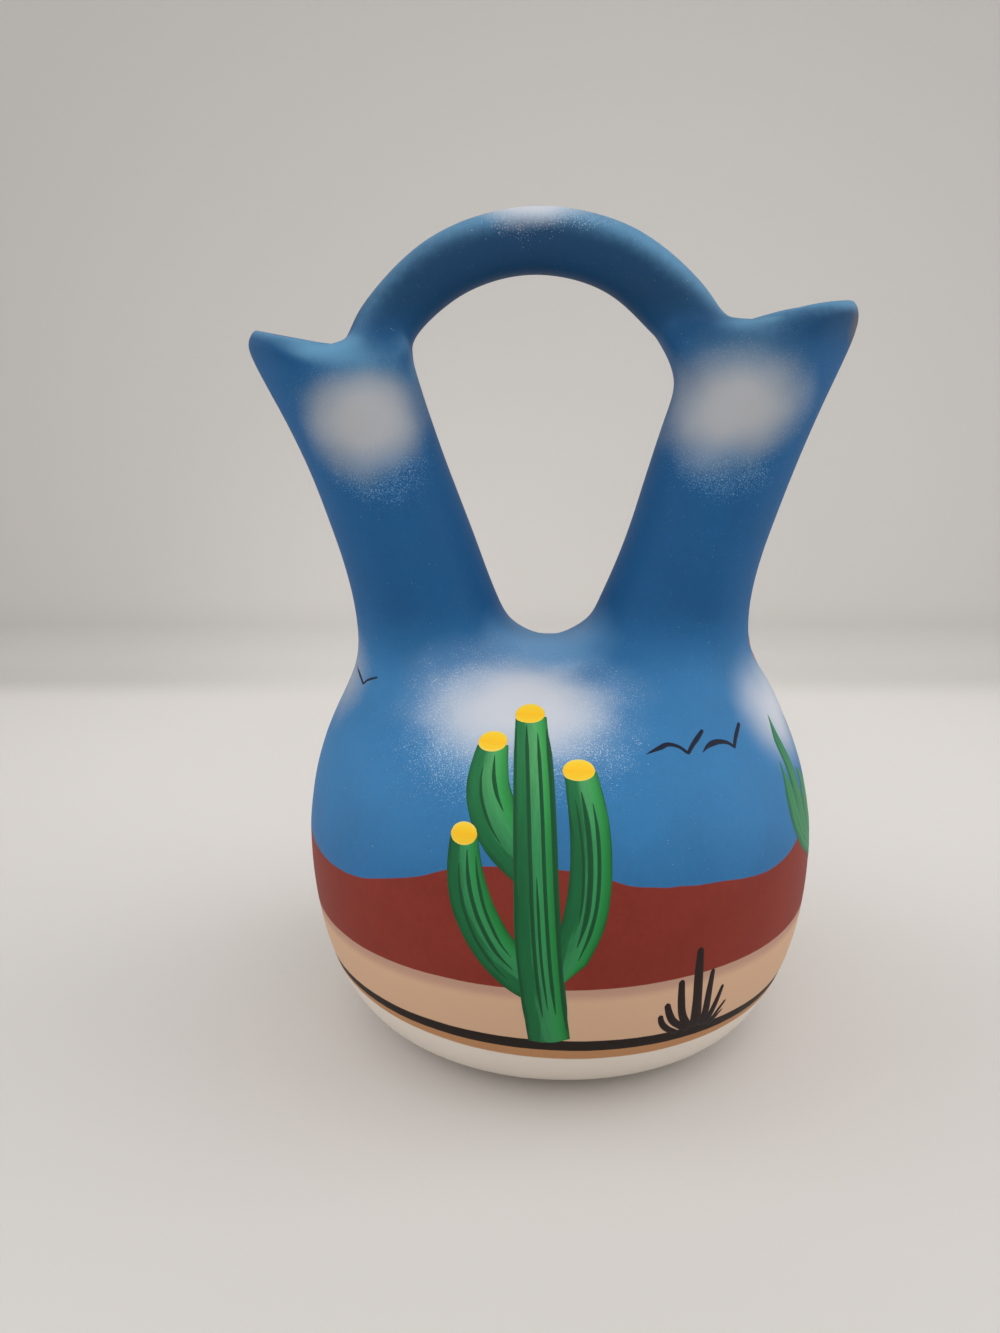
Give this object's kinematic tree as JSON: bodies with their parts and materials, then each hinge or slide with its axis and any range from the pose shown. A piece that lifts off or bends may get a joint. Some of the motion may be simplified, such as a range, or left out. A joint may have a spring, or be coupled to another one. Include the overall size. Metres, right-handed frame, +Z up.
{
  "type": "wedding vase",
  "caption": "Round-bodied clay wedding vase with leaning pouring spouts joined at their rims by an arched handle.",
  "frame": {"origin": "centre of the flat foot, on the surface the vase stands on", "axes": "+Z up, X through both spouts with the taller one at +X, front of the painted scene at -Y"},
  "size_m": [0.1777, 0.1584, 0.25],
  "materials": {
    "foot_slab": "matt off-white paint on fired clay",
    "lower_bowl": "matt red-brown and tan paint on fired clay",
    "shoulder": "matt airbrushed blue paint on fired clay",
    "left_spout": "matt airbrushed blue paint on fired clay",
    "right_spout": "matt airbrushed blue paint on fired clay",
    "handle": "matt airbrushed blue paint on fired clay"
  },
  "bodies": {
    "root": {"foot_slab": "foot_slab", "lower_bowl": "lower_bowl", "shoulder": "shoulder", "left_spout": "left_spout", "right_spout": "right_spout", "handle": "handle"}
  },
  "joints": []
}
